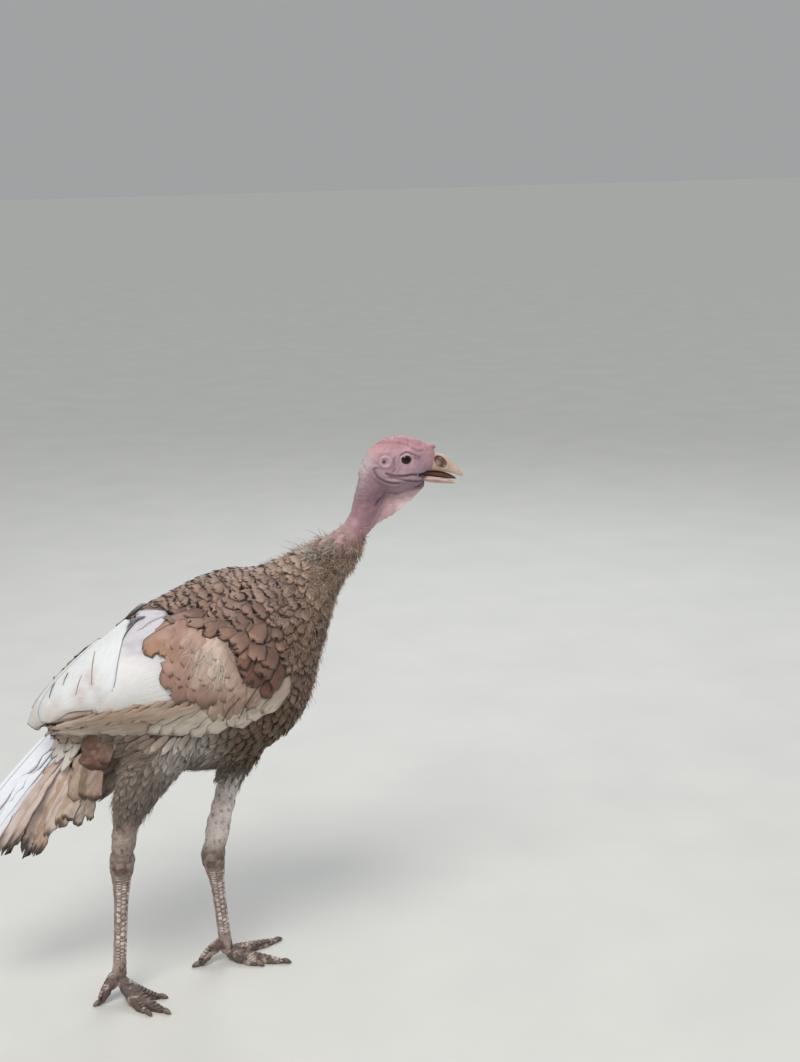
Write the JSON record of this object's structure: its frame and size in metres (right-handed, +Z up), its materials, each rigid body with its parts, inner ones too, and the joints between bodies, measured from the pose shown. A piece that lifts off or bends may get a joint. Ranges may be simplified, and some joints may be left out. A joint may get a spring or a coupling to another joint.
{
  "type": "domestic turkey figure",
  "caption": "Life-size still figure of a young domestic turkey in mid step, with bare pink head and neck, brown body, white wings and a closed hanging tail.",
  "frame": {"origin": "on the floor, below the middle of the bird's bounding box", "axes": "+X ahead, towards the bill; +Y to the bird's left; +Z up"},
  "size_m": [0.6128, 0.1936, 0.6465],
  "materials": {
    "bill_horn": "cream horn",
    "claw_horn": "dark dull horn",
    "bare_head": "bare pink folded skin",
    "eye": "wet dark brown eye",
    "neck_down": "sparse buff down",
    "bare_neck": "bare mauve skin",
    "scaled_leg": "scaled pinkish grey skin",
    "tail_feathers": "white vanes, tan outer ones",
    "thigh_feathers": "taupe hairy feathers",
    "body_feathers": "rose brown feathers with dark edges",
    "undertail_feathers": "tan brown soft feathers",
    "wing_coverts": "cinnamon feathers",
    "flight_feathers": "white and cream vanes"
  },
  "bodies": {
    "root": {"bill_lower": "bill_horn", "bill_upper": "bill_horn", "claw_left_hallux": "claw_horn", "claw_left_inner": "claw_horn", "claw_left_middle": "claw_horn", "claw_left_outer": "claw_horn", "claw_right_hallux": "claw_horn", "claw_right_inner": "claw_horn", "claw_right_middle": "claw_horn", "claw_right_outer": "claw_horn", "dewlap": "bare_head", "eye_left": "eye", "eye_right": "eye", "head": "bare_head", "neck_lower": "neck_down", "neck_upper": "bare_neck", "shank_left": "scaled_leg", "shank_right": "scaled_leg", "snood": "bare_head", "tail": "tail_feathers", "thigh_left": "thigh_feathers", "thigh_right": "thigh_feathers", "toe_left_hallux": "scaled_leg", "toe_left_inner": "scaled_leg", "toe_left_middle": "scaled_leg", "toe_left_outer": "scaled_leg", "toe_right_hallux": "scaled_leg", "toe_right_inner": "scaled_leg", "toe_right_middle": "scaled_leg", "toe_right_outer": "scaled_leg", "trunk": "body_feathers", "undertail": "undertail_feathers", "wing_left_coverts": "wing_coverts", "wing_left_flight": "flight_feathers", "wing_right_coverts": "wing_coverts", "wing_right_flight": "flight_feathers"}
  },
  "joints": []
}
